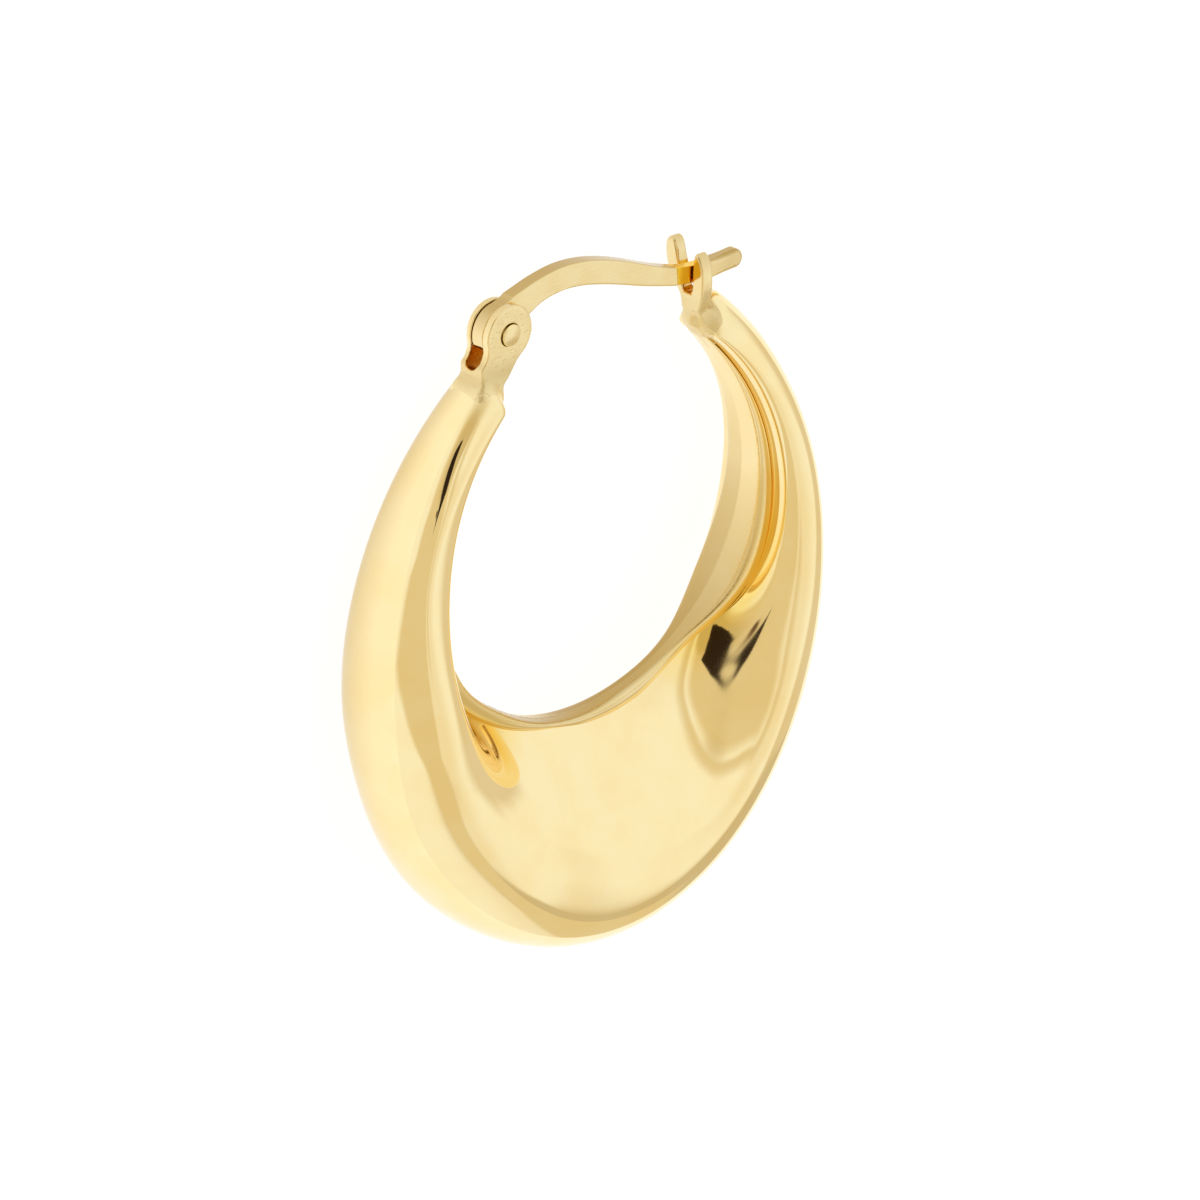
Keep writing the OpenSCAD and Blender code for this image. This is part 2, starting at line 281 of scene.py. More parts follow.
def skin_of(fn, lo, hi, h):
    """Closed quad mesh of where fn is 0, with its vertices moved onto it."""
    n = [int(math.ceil((b - a) / h)) + 1 for a, b in zip(lo, hi)]
    ax = [np.asarray(lo[i]) + h * np.arange(n[i]) for i in range(3)]
    grid = np.stack(np.meshgrid(*ax, indexing="ij"), -1)
    f = fn(grid.reshape(-1, 3)).reshape(n)
    total = np.zeros([m - 1 for m in n] + [3])
    count = np.zeros([m - 1 for m in n])
    quads = []
    index = np.indices(n)
    for d in range(3):
        sl0 = [slice(None)] * 3
        sl1 = [slice(None)] * 3
        sl0[d], sl1[d] = slice(0, -1), slice(1, None)
        f0, f1 = f[tuple(sl0)], f[tuple(sl1)]
        hit = (f0 < 0) != (f1 < 0)
        o1, o2 = [i for i in range(3) if i != d]
        idx = np.stack(np.nonzero(hit), -1)
        keep = ((idx[:, o1] > 0) & (idx[:, o1] < n[o1] - 1)
                & (idx[:, o2] > 0) & (idx[:, o2] < n[o2] - 1))
        idx = idx[keep]
        a, b = f0[tuple(idx.T)], f1[tuple(idx.T)]
        pos = idx.astype(float)
        pos[:, d] += a / (a - b)
        cells = []
        for s1, s2 in ((1, 1), (0, 1), (0, 0), (1, 0)):
            c = idx.copy()
            c[:, o1] -= s1
            c[:, o2] -= s2
            cells.append(c)
            np.add.at(total, tuple(c.T), pos)
            np.add.at(count, tuple(c.T), 1)
        flip = (a < 0) if d != 1 else (a >= 0)
        q = np.stack([np.ravel_multi_index(tuple(c.T), count.shape) for c in cells], -1)
        quads.append(np.where(flip[:, None], q, q[:, ::-1]))
    used = np.nonzero(count.ravel())[0]
    number = np.full(count.size, -1)
    number[used] = np.arange(len(used))
    v = (total.reshape(-1, 3)[used] / count.ravel()[used][:, None]) * h + np.asarray(lo)
    v, quads = largest_part(v, number[np.concatenate(quads)])

    def slope(p):
        e = 0.004
        g = np.stack([fn(p + np.eye(3)[i] * e) - fn(p - np.eye(3)[i] * e) for i in range(3)], -1)
        return g / (2 * e)

    for _ in range(4):
        g = slope(v)
        step = fn(v)[:, None] * g / np.maximum((g * g).sum(1), 0.2)[:, None]
        size = np.linalg.norm(step, axis=1, keepdims=True)
        v = v - step * np.minimum(1, 0.6 * h / np.maximum(size, 1e-9))
    g = slope(v)
    return v, quads, g / np.maximum(np.linalg.norm(g, axis=1, keepdims=True), 1e-9)


class Field:
    """Distance to a closed mesh near a place, kept on a grid."""

    def __init__(self, tree, lo, hi, h=0.1):
        self.lo, self.h = np.array(lo, float), h
        self.n = [int(math.ceil((b - a) / h)) + 1 for a, b in zip(lo, hi)]
        v = np.empty(self.n)
        for i in range(self.n[0]):
            for j in range(self.n[1]):
                for k in range(self.n[2]):
                    p = Vector(self.lo + h * np.array([i, j, k]))
                    loc, nor, _, dist = tree.find_nearest(p)
                    v[i, j, k] = dist if (p - loc).dot(nor) > 0 else -dist
        self.v = v

    def __call__(self, p):
        g = (p - self.lo) / self.h
        g = np.clip(g, 0, np.array(self.n) - 1.001)
        i = g.astype(int)
        t = g - i
        out = 0
        for a in (0, 1):
            for b in (0, 1):
                for c in (0, 1):
                    w = (np.where(a, t[:, 0], 1 - t[:, 0]) * np.where(b, t[:, 1], 1 - t[:, 1])
                         * np.where(c, t[:, 2], 1 - t[:, 2]))
                    out = out + w * self.v[i[:, 0] + a, i[:, 1] + b, i[:, 2] + c]
        return out


# --------------------------------------------------------------- materials
def material(name):
    m = bpy.data.materials.new(name)
    m.use_nodes = True
    nt = m.node_tree
    nt.nodes.clear()
    out = nt.nodes.new("ShaderNodeOutputMaterial")
    b = nt.nodes.new("ShaderNodeBsdfPrincipled")
    nt.links.new(b.outputs[0], out.inputs[0])
    b.inputs["Metallic"].default_value = 1.0
    return m, nt, b


class Nodes:
    """Short names for the shader nodes that the materials are made of."""

    def __init__(self, nt):
        self.nt = nt

    def new(self, kind, **inputs):
        n = self.nt.nodes.new(kind)
        for k, v in inputs.items():
            self.put(n.inputs[k.replace("_", " ")], v)
        return n

    def put(self, socket, v):
        if isinstance(v, bpy.types.NodeSocket):
            self.nt.links.new(v, socket)
        else:
            socket.default_value = v

    def math(self, op, a, b=0.0, c=0.0, clamp=False):
        n = self.nt.nodes.new("ShaderNodeMath")
        n.operation, n.use_clamp = op, clamp
        for s, v in zip(n.inputs, (a, b, c)):
            self.put(s, v)
        return n.outputs[0]

    def attribute(self, name):
        n = self.nt.nodes.new("ShaderNodeAttribute")
        n.attribute_name = name
        return n.outputs["Fac"]

    def place(self):
        return self.nt.nodes.new("ShaderNodeTexCoord").outputs["Object"]

    def scaled(self, vec, scale):
        n = self.nt.nodes.new("ShaderNodeMapping")
        self.put(n.inputs["Vector"], vec)
        n.inputs["Scale"].default_value = scale
        return n.outputs[0]

    def noise(self, vec, scale, detail=3.0, rough=0.5, distortion=0.0):
        n = self.nt.nodes.new("ShaderNodeTexNoise")
        self.put(n.inputs["Vector"], vec)
        n.inputs["Scale"].default_value = scale
        n.inputs["Detail"].default_value = detail
        n.inputs["Roughness"].default_value = rough
        n.inputs["Distortion"].default_value = distortion
        return n.outputs["Fac"]

    def ramp(self, fac, lo, hi, a=0.0, b=1.0, smooth=True):
        n = self.nt.nodes.new("ShaderNodeMapRange")
        n.interpolation_type = "SMOOTHSTEP" if smooth else "LINEAR"
        self.put(n.inputs["Value"], fac)
        for k, v in (("From Min", lo), ("From Max", hi), ("To Min", a), ("To Max", b)):
            self.put(n.inputs[k], v)
        return n.outputs["Result"]

    def mix(self, fac, a, b):
        n = self.nt.nodes.new("ShaderNodeMix")
        n.data_type = "RGBA"
        self.put(n.inputs["Factor"], fac)
        for s, v in ((n.inputs[6], a), (n.inputs[7], b)):
            self.put(s, v)
        return n.outputs[2]

    def bump(self, height, strength, distance):
        n = self.nt.nodes.new("ShaderNodeBump")
        n.inputs["Strength"].default_value = strength
        n.inputs["Distance"].default_value = distance
        self.put(n.inputs["Height"], height)
        return n.outputs[0], n


GOLD = (0.975, 0.810, 0.455, 1)
# colour of painted shade in the wire's notch
GOLD_DEEP = (0.930, 0.580, 0.040, 1)
GOLD_PALE = (0.940, 0.800, 0.455, 1)
# colour of painted shade
GOLD_SHADE = (0.470, 0.305, 0.090, 1)
# colour of painted reflection in the groove
GOLD_GLOW = (0.940, 0.680, 0.190, 1)
# colour of painted shade in the slots
GOLD_SLOT = (0.620, 0.275, 0.015, 1)


def gold_hoop():
    """Mirror polished outside, softly brushed on the front of the inner wall."""
    m, nt, b = material("polished_gold")
    n = Nodes(nt)
    p = n.place()
    brushed = n.attribute("brushed")
    solder = n.attribute("solder")
    haze = n.noise(p, 420.0, 3.0, 0.55)
    grain = n.noise(p, 9000.0, 4.0, 0.6)
    tone = n.mix(n.ramp(haze, 0.35, 0.7), GOLD, (0.968, 0.776, 0.400, 1))
    tone = n.mix(n.math("MULTIPLY", solder, 0.7), tone, GOLD_PALE)
    # painted reflection: a deeper yellow in the groove
    tone = n.mix(n.attribute("glow"), tone, GOLD_GLOW)
    # painted shade: the base colour is darkened where painted shade is painted
    n.put(b.inputs["Base Color"], n.mix(n.attribute("shade"), tone, GOLD_SHADE))
    rough = n.ramp(haze, 0.3, 0.7, 0.025, 0.065)
    rough = n.math("MULTIPLY_ADD", brushed, 0.16, rough)
    rough = n.math("MULTIPLY_ADD", solder, 0.26, rough)
    n.put(b.inputs["Roughness"], rough)
    wave = n.noise(p, 260.0, 2.0, 0.4)
    b1, _ = n.bump(wave, 0.05, 0.00002)
    h = n.math("MULTIPLY", grain, n.math("ADD", n.math("MULTIPLY", brushed, 1.0), solder))
    nb = nt.nodes.new("ShaderNodeBump")
    nb.inputs["Strength"].default_value = 0.45
    nb.inputs["Distance"].default_value = 0.000018
    n.put(nb.inputs["Height"], h)
    nt.links.new(b1, nb.inputs["Normal"])
    nt.links.new(nb.outputs[0], b.inputs["Normal"])
    return m


def gold_fitting(name, deep=0.0):
    """Filed and pickled gold: satin, with small pits."""
    m, nt, b = material(name)
    n = Nodes(nt)
    p = n.place()
    solder = n.attribute("solder")
    cloud = n.noise(p, 900.0, 3.0, 0.6)
    pits = n.noise(p, 5200.0, 2.0, 0.5)
    grain = n.noise(p, 14000.0, 3.0, 0.6)
    tone = n.mix(n.ramp(cloud, 0.35, 0.65), GOLD, (0.955, 0.765, 0.395, 1))
    tone = n.mix(n.math("MULTIPLY", solder, 0.75), tone, GOLD_PALE)
    # painted shade: the base colour is darkened where painted shade is painted
    tone = n.mix(n.attribute("shade"), tone, GOLD_SHADE)
    # painted shade: the slots are coloured a deep orange-brown
    n.put(b.inputs["Base Color"], n.mix(n.attribute("deep"), tone, GOLD_SLOT))
    rough = n.ramp(cloud, 0.3, 0.7, 0.10, 0.17)
    rough = n.math("MULTIPLY_ADD", solder, 0.24, rough)
    n.put(b.inputs["Roughness"], rough)
    pit = n.math("MULTIPLY", n.ramp(pits, 0.30, 0.42, -1.0, 0.0), n.math("ADD", n.math("MULTIPLY", solder, 1.1), 0.1))
    h = n.math("ADD", pit, n.math("MULTIPLY", grain, n.math("MULTIPLY_ADD", solder, 0.35, 0.06)))
    nb = nt.nodes.new("ShaderNodeBump")
    nb.inputs["Strength"].default_value = 0.5
    nb.inputs["Distance"].default_value = 0.00002
    n.put(nb.inputs["Height"], h)
    nt.links.new(nb.outputs[0], b.inputs["Normal"])
    return m


def gold_wire():
    """Polished flat wire with fine lines along it."""
    m, nt, b = material("wire_gold")
    n = Nodes(nt)
    p = n.place()
    cut = n.attribute("cut")
    cloud = n.noise(p, 700.0, 3.0, 0.55)
    lines = n.noise(n.scaled(p, (900.0, 9000.0, 9000.0)), 1.0, 3.0, 0.6)
    tone = n.mix(n.ramp(cloud, 0.35, 0.65), GOLD, (0.962, 0.770, 0.395, 1))
    # painted shade: the base colour is darkened where painted shade is painted
    tone = n.mix(n.attribute("shade"), tone, GOLD_SHADE)
    # painted shade: the inside of the notch is coloured deep orange
    n.put(b.inputs["Base Color"], n.mix(cut, tone, GOLD_DEEP))
    rough = n.ramp(cloud, 0.3, 0.7, 0.08, 0.13)
    rough = n.math("MULTIPLY_ADD", cut, 0.12, rough)
    n.put(b.inputs["Roughness"], rough)
    nb = nt.nodes.new("ShaderNodeBump")
    nb.inputs["Strength"].default_value = 0.25
    nb.inputs["Distance"].default_value = 0.000008
    n.put(nb.inputs["Height"], lines)
    nt.links.new(nb.outputs[0], b.inputs["Normal"])
    return m


# ------------------------------------------------------------------- hoop
def make_hoop():
    rings = hoop_rings()
    rows = [ring(a, s) for a, s in rings]
    n, m = len(rows), len(rows[0])
    verts = np.concatenate(rows)
    first, last = rows[0].mean(0), rows[-1].mean(0)
    verts = np.concatenate([verts, [first, last]])
    j, k = np.meshgrid(np.arange(n - 1), np.arange(m), indexing="ij")
    k1 = (k + 1) % m
    quads = np.stack([j * m + k, j * m + k1, (j + 1) * m + k1, (j + 1) * m + k], -1).reshape(-1, 4)
    faces = quads.tolist()
    faces += [[n * m, (k + 1) % m, k] for k in range(m)]
    faces += [[n * m + 1, (n - 1) * m + k, (n - 1) * m + (k + 1) % m] for k in range(m)]
    ob = mesh_object("hoop_shell", verts, faces)
    me = ob.data
    # the groove is a crease
    crease = {I_DIP, m - I_DIP}
    sharp = np.zeros(len(me.edges), bool)
    ev = np.empty(len(me.edges) * 2, int)
    me.edges.foreach_get("vertices", ev)
    ev = ev.reshape(-1, 2)
    ok = (ev < n * m).all(1)
    sharp[ok] = np.isin(ev[ok][:, 0] % m, list(crease)) & (ev[ok][:, 0] % m == ev[ok][:, 1] % m)
    at_ = me.attributes.get("sharp_edge") or me.attributes.new("sharp_edge", "BOOLEAN", "EDGE")
    at_.data.foreach_set("value", sharp)
    # the front half of the inner wall is brushed, up to the seam
    col = np.arange(n * m) % m
    brushed = np.where(col <= N_LIP * 0.8, 1.0, 0.0)
    paint(ob, "brushed", np.append(brushed, [0, 0]))
    ang = np.repeat([abs(a) for a, _ in rings], m)
    # painted shade: what faces up inside the hole and the back of the inner wall (less on the left leg) are coloured
    # darker, for the darker reflections seen there
    nor = np.empty(len(me.vertices) * 3)
    me.vertices.foreach_get("normal", nor)
    up = (nor.reshape(-1, 3) @ LAY)[:n * m, 2]
    wall = np.where(col <= N_LIP, 0.08 + 0.85 * np.clip(up, 0, 1), 0)
    left = np.clip((np.repeat([-a for a, _ in rings], m) - 15) / 30, 0, 1)
    wall = np.where(col >= m - I_DIP, (0.36 + 0.66 * np.clip(up, 0, 1)) * (1 - 0.7 * left), wall)
    wall = wall * np.clip((140 - ang) / 30, 0, 1)
    back = (nor.reshape(-1, 3) @ LAY)[:n * m, 1]
    # painted shade: the back-facing side of the outer band is coloured darker, less so low down
    rim = 0.46 * np.clip((back + 0.08) / 0.6, 0, 1) * ((col > I_CREST) & (col < m - I_CREST))
    rim = rim * (0.35 + 0.65 * np.clip((verts[:n * m, 2] + 9) / 8, 0, 1))
    paint(ob, "shade", np.append(np.maximum(wall, rim), [0, 0]))
    # painted reflection: the groove along the sides of the hole is coloured a deeper yellow, for the warm
    # gold-in-gold reflection there
    c = np.minimum(col, m - col)
    glow = np.interp(c, [0.25 * N_LIP, N_LIP, I_DIP - 2, I_DIP + 6, I_DIP + 15], [0, 0.55, 0.9, 0.9, 0])
    paint(ob, "glow", np.append(glow * np.interp(ang, [42, 60, 96, 116], [0, 1, 1, 0]), [0, 0]))
    return ob


hoop = make_hoop()
tree = BVHTree.FromPolygons([Vector(v) for v in np.concatenate([ring(a, s) for a, s in hoop_rings()])],
                            [list(p.vertices) for p in hoop.data.polygons
                             if max(p.vertices) < len(hoop.data.vertices) - 2])


# ---------------------------------------------------------------- fittings
def slot_height(p):
    """Height above the centre of the round end of the slot between the ears."""
    lean = math.radians(SLOT_LEAN)
    return ((p[:, 0] - PIN_X) * math.sin(lean) + (p[:, 2] - PIN_Z) * math.cos(lean)
            + EAR_SLOT - EAR_GAP / 2)


def hinge_field():
    stem = smooth_loop(STEM)
    leg = Field(tree, (-8.3, -1.8, 9.9), (-3.8, 1.8, 13.8), 0.12)
    half = EAR_GAP / 2 + EAR_T

    def metal(p):
        x, y, z = p[:, 0] - PIN_X, p[:, 1], p[:, 2] - PIN_Z
        d2 = smin(np.hypot(x, z) - EAR_R, poly_distance(x, z, stem), 0.12)
        r = np.where(y > 0, 0.26, 0.10)
        d = slab(d2, y, half, r)
        zz = slot_height(p)
        slot = np.where(zz > 0, np.abs(y), np.hypot(y, zz)) - EAR_GAP / 2
        d = smax(d, -slot, 0.07)
        return smax(d, -(np.hypot(x, z) - 0.485), 0.06)

    def fn(p):
        d = metal(p)
        return np.maximum(smin(d, leg(p) + 0.014, 0.55), d - 0.75)

    return fn, metal, leg


def catch_field():
    fork = smooth_loop(FORK)
    leg = Field(tree, (4.1, -2.0, 9.3), (8.3, 2.1, 13.6), 0.12)

    def metal(p):
        x, y, z = p[:, 0] - FORK_X - FORK_T / 2, p[:, 1], p[:, 2]
        x = x - 0.6 * np.clip(12.0 - z, 0, 1)
        d2 = poly_distance(y, z, fork)
        r = 0.09 + 0.07 * np.clip((z - 13.7) / 0.7, 0, 1)
        d = slab(d2, x, FORK_T / 2, r)
        blob = np.linalg.norm(p - np.array([5.80, -0.05, 11.45]), axis=1) - 0.42
        return smin(d, blob, 0.35)

    def fn(p):
        d = metal(p)
        return np.maximum(smin(d, leg(p) + 0.014, 0.60), d - 0.80)

    return fn, metal, leg


def wire_loop():
    xs = np.linspace(WIRE[0][0], WIRE[-1][0], 61)
    z, h = hermite(WIRE, 1, xs), hermite(WIRE, 2, xs)
    e = 0.05
    dz = (hermite(WIRE, 1, xs + e) - hermite(WIRE, 1, xs - e)) / (2 * e)
    nrm = np.stack([-dz, np.ones_like(dz)], -1) / np.hypot(dz, 1)[:, None]
    mid = np.stack([xs, z], -1)
    up, dn = mid + nrm * h[:, None] / 2, mid - nrm * h[:, None] / 2
    start = [[PIN_X + 0.05, PIN_Z + EYE_R - 0.06]]
    end = [[PIN_X + 0.9, PIN_Z - 0.2]]
    return np.concatenate([start, up, dn[::-1], end])


def wire_field():
    loop = wire_loop()
    tip = WIRE[-1]

    def fn(p):
        x, y, z = p[:, 0], p[:, 1], p[:, 2]
        d2 = poly_distance(x, z, loop)
        d2 = np.minimum(d2, np.hypot(x - tip[0], z - tip[1]) - tip[2] / 2)
        eye = np.hypot(x - PIN_X + 0.04, z - PIN_Z + 0.02) - EYE_R
        d2 = smin(d2, eye, 0.25)
        cut = -((x - PIN_X) * math.sin(math.radians(33)) + (z - PIN_Z) * math.cos(math.radians(33))) - HEEL
        d2 = smax(d2, np.where(x < PIN_X + 0.9, cut, -1.0), 0.1)
        r = 0.055 + 0.13 * np.clip((x - 6.1) / 1.2, 0, 1)
        d = slab(d2, y, WIRE_T / 2, r)
        lean = 0.10 * (z - 13.6)
        neck = np.maximum(np.maximum(NECK_X0 + 0.02 - lean - x, x - NECK_X1), NECK_T / 2 - np.abs(y))
        d = smax(d, -neck, 0.03)
        return smax(d, -(np.hypot(x - PIN_X, z - PIN_Z) - PIN_R - EYE_CLEAR), 0.04)

    return fn


def fade(d):
    """Solder round a fitting: all of it close by, none past 1.4 mm."""
    return np.clip(1.1 - np.maximum(d, 0) / 1.3, 0, 1)


hf, hmetal, hleg = hinge_field()
v, q, nn = skin_of(hf, (-8.1, -1.6, 10.1), (-4.0, 1.6, 15.55), 0.05)
hinge = mesh_object("hinge_bracket", v, q, normals=nn)
face = np.clip((-nn[:, 1] - 0.5) * 3, 0, 1)
solder = np.clip((13.2 - v[:, 2]) / 0.9, 0, 1) * fade(hmetal(v))
paint(hinge, "solder", np.clip(solder + 0.55 * face * (v[:, 2] > 12.3), 0, 1))
# painted shade: the hinge is coloured darker low down and where it faces up, fading out near the leg
paint(hinge, "shade", (0.30 * np.clip((13.4 - v[:, 2]) / 0.9, 0, 1) + 0.45 * np.clip(nn[:, 2], 0, 1))
      * np.clip((v[:, 2] - 11.7) / 0.8, 0, 1))
# painted shade: the walls of the slot between the ears, below the pin, are coloured deep orange-brown
paint(hinge, "deep", (np.abs(v[:, 1]) < EAR_GAP / 2 + 0.02) & (v[:, 2] < PIN_Z - 0.55)
      & (np.hypot(v[:, 1], np.minimum(slot_height(v), 0)) < EAR_GAP / 2 + 0.03))

cf, cmetal, cleg = catch_field()
v, q, nn = skin_of(cf, (4.3, -1.8, 9.5), (8.1, 1.9, 14.95), 0.05)
catch = mesh_object("catch_fork", v, q, normals=nn)
paint(catch, "solder", np.clip((13.0 - v[:, 2]) / 0.6, 0, 1) * fade(cmetal(v)))
# painted shade: the catch is coloured darker all over, more low down and where it faces up
paint(catch, "shade", 0.15 + 0.08 * np.clip((12.9 - v[:, 2]) / 0.8, 0, 1) + 0.4 * np.clip(nn[:, 2], 0, 1))
# painted shade: the slot of the fork is coloured deep orange-brown
paint(catch, "deep", (v[:, 1] > -0.32) & (v[:, 1] < 0.45) & (v[:, 2] > FORK_SLOT_Z - 0.34)
      & (v[:, 1] < 0.32 + 0.4 * (v[:, 2] - 12.95)))

v = np.concatenate([ring(a, s) for a, s in hoop_rings()])
paint(hoop, "solder", np.append(np.maximum(fade(hmetal(v)), fade(cmetal(v))), [1, 1]))

wf = wire_field()
v, q, nn = skin_of(wf, (-6.8, -0.42, 12.75), (8.5, 0.42, 16.25), 0.045)
wire = mesh_object("ear_wire_bar", v, q, normals=nn)
# the inside of the notch, for painted shade in deep orange and a rougher finish
inside = ((v[:, 0] > NECK_X0 - 0.15) & (v[:, 0] < NECK_X1 + 0.1) & (np.abs(v[:, 1]) < WIRE_T / 2 - 0.03))
paint(wire, "cut", inside)
# painted shade: the wire is coloured darker on its top and back, a little all over, and more on the front of its tip
paint(wire, "shade", 0.12 + 0.22 * np.clip((v[:, 0] - 6) / 1.5, 0, 1) * (nn[:, 1] < 0)
      + 0.75 * np.clip(nn[:, 2], 0, 1) ** 1.3 + 0.3 * np.clip(nn[:, 1], 0, 1))


def make_pin():
    """Rivet: a shaft with a low hammered head at each end."""
    half = EAR_GAP / 2 + EAR_T
    low = half + HEAD_H
    side = [(HEAD_R - 0.07 + 0.07 * math.sin(k * math.pi / 16), low - 0.07 + 0.07 * math.cos(k * math.pi / 16))
            for k in range(1, 9)]
    face = [(r, low - 0.05 * (r / HEAD_R) ** 2 + 0.035) for r in (0.06, 0.14, 0.22, 0.30, 0.36)]
    front = face + side + [(HEAD_R, half + 0.03), (HEAD_R - 0.02, half + 0.004), (PIN_R, half - 0.01)]
    rows = [(r, -w) for r, w in front] + [(r, w) for r, w in reversed(front)]
    seg, verts, faces = 64, [], []
    for r, w in rows:
        for k in range(seg):
            f = 2 * math.pi * k / seg
            rr = r * (1 + 0.02 * math.sin(2 * f + 0.6) + 0.012 * math.sin(5 * f)) if r > PIN_R else r
            verts.append((PIN_X + rr * math.cos(f), w, PIN_Z + rr * math.sin(f)))
    last = (len(rows) - 1) * seg
    for i in range(len(rows) - 1):
        for k in range(seg):
            p, q = i * seg + k, i * seg + (k + 1) % seg
            faces.append([p, p + seg, q + seg, q])
    verts += [(PIN_X, rows[0][1] - 0.002, PIN_Z), (PIN_X, rows[-1][1] + 0.002, PIN_Z)]
    for k in range(seg):
        faces.append([last + seg, k, (k + 1) % seg])
        faces.append([last + seg + 1, last + (k + 1) % seg, last + k])
    return mesh_object("hinge_rivet", np.array(verts), faces)


pin = make_pin()
paint(pin, "solder", np.full(len(pin.data.vertices), 0.25))
# painted shade: the rivet is coloured a little darker all over
paint(pin, "shade", np.full(len(pin.data.vertices), 0.08))

for ob, mat, body, node, slot in (
        (hoop, gold_hoop(), "hoop", "hoop_body", "polished_gold"),
        (hinge, gold_fitting("hinge_gold"), "hoop", "hoop_body", "polished_gold"),
        (catch, gold_fitting("catch_gold"), "hoop", "hoop_body", "polished_gold"),
        (pin, gold_fitting("pin_gold"), "hoop", "hinge_pin", "pin_gold"),
        (wire, gold_wire(), "wire", "ear_wire", "wire_gold")):
    ob.data.materials.append(mat)
    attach(ob, body)
    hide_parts(node)

# ------------------------------------------------------------------ camera
AZ, EL, ROLL = (math.radians(x) for x in (44.914, 25.183, 1.631))
PX_PER_MM, AWAY = 24.185, 500.0
cam_c = np.array([-math.sin(AZ) * math.cos(EL), -math.cos(AZ) * math.cos(EL), math.sin(EL)])
cam_r = np.array([math.cos(AZ), -math.sin(AZ), 0])
cam_u = np.array([math.sin(AZ) * math.sin(EL), math.cos(AZ) * math.sin(EL), math.cos(EL)])
r2 = math.cos(ROLL) * cam_r + math.sin(ROLL) * cam_u
u2 = -math.sin(ROLL) * cam_r + math.cos(ROLL) * cam_u
cam = bpy.data.cameras.new("camera")
cam.lens, cam.sensor_width, cam.sensor_fit = PX_PER_MM * AWAY * 36 / 1200, 36, "HORIZONTAL"
cam.shift_x, cam.shift_y = (600 - 585.423) / 1200, (606.68 - 600) / 1200
cam.clip_start, cam.clip_end = 0.02, 50
camera = bpy.data.objects.new("camera", cam)
axes = np.stack([turn(r2), turn(u2), turn(cam_c)], -1)
mw = Matrix(axes.tolist()).to_4x4()
mw.translation = Vector(rest(cam_c * AWAY))
camera.matrix_world = mw
bpy.context.scene.collection.objects.link(camera)
bpy.context.scene.camera = camera

# ------------------------------------------------------- floor and lighting
bpy.context.view_layer.update()
low = min(min((o.matrix_world @ w.co).z for w in o.data.vertices) for o in (hoop, hinge, catch, wire, pin))


def make_floor():
    s = 2.5
    me = bpy.data.meshes.new("floor")
    me.from_pydata([(-s, -s, low), (s, -s, low), (s, s, low), (-s, s, low)], [], [(0, 1, 2, 3)])
    ob = bpy.data.objects.new("floor", me)
    bpy.context.scene.collection.objects.link(ob)
    m, nt, b = material("floor_paper")
    b.inputs["Metallic"].default_value = 0.0
    b.inputs["Base Color"].default_value = (0.20, 0.20, 0.21, 1)
    b.inputs["Roughness"].default_value = 0.9
    b.inputs["Specular IOR Level"].default_value = 0.1
    b.inputs["Emission Color"].default_value = (1, 1, 1, 1)
    b.inputs["Emission Strength"].default_value = 0.90
    me.materials.append(m)
    return ob


floor = make_floor()


# Edges in the surroundings, in degrees from the camera's direction
#           up   left edge of the tan wall
WALL_LEFT = [[-84, 40], [-78, 22], [-72, 6], [-68, -2], [-64, -14], [-60, -22], [-54, -30], [-48, -37],
             [-42, -44], [-35, -48], [-20, -41], [-12, -37], [-8, -30], [0, -26], [4, -22], [16, -19],
             [28, -12], [40, -10]]
#            up   right edge of the tan wall
WALL_RIGHT = [[-80, 100], [-70, 100], [-66, 60], [-63, 45], [-60, 33], [-44, 30], [-36, 31], [-30, 33],
              [-24, 34], [-16, 33], [-12, 31], [-8, 25], [-4, 21], [0, 19], [5, 17], [16, 16], [30, 12]]
#           right  upper edge of the olive band under the light panel
BAND_TOP = [[0, -52], [20, -56], [34, -62], [50, -62], [62, -58], [72, -54], [80, -50], [90, -46],
            [100, -44], [120, -50], [140, -50]]
#           right  lower edge of the olive band
BAND_LOW = [[-20, -62], [-10, -68], [0, -73], [10, -78], [20, -80], [30, -84], [40, -90], [50, -97],
            [60, -104], [100, -104], [120, -85]]
#            up   edge of the darker wall at the far right
FAR_RIGHT = [[-160, 32], [-150, 39], [-140, 46], [-130, 52], [-120, 60], [-110, 66], [-100, 71], [-90, 78],
             [-80, 80], [-60, 80], [-50, 86], [-40, 95], [-30, 101], [-20, 103], [-10, 105], [0, 111],
             [30, 114], [50, 110]]
LIGHT, LIGHT_LOW = (1.0, 1.02, 1.03), (0.92, 0.88, 0.79)
TAN, OLIVE, FAR = (0.790, 0.700, 0.510), (0.655, 0.58, 0.44), (0.78, 0.71, 0.58)
HALO, LINE, DARK = (0.66, 0.56, 0.36), (0.52, 0.45, 0.30), (0.03, 0.02, 0.015)
RAIL, STRIP = (0.80, 0.72, 0.56), (0.11, 0.045, 0.02)
#            up  left and right edge of the dark panel
PANEL = [[-10.3, 7.1, 7.1], [-9.4, 6.7, 7.4], [-8.5, 6.5, 7.6], [-7.7, 6.2, 8.2], [-7, 5.7, 8.8], [-6.2, 5.15, 9.1],
          [-5, 4.45, 9.7], [-3.5, 3.7, 10.6], [-2, 2.7, 11.6], [-0.9, 1.8, 12.3], [1, 0.2, 10.8],
          [2.4, -1.6, 9.6], [6, -3.8, 7.7], [10.3, -5.6, 5.3], [14, -5.6, 4.7], [16.2, -4.6, 4.4],
          [17.6, 0, 0]]


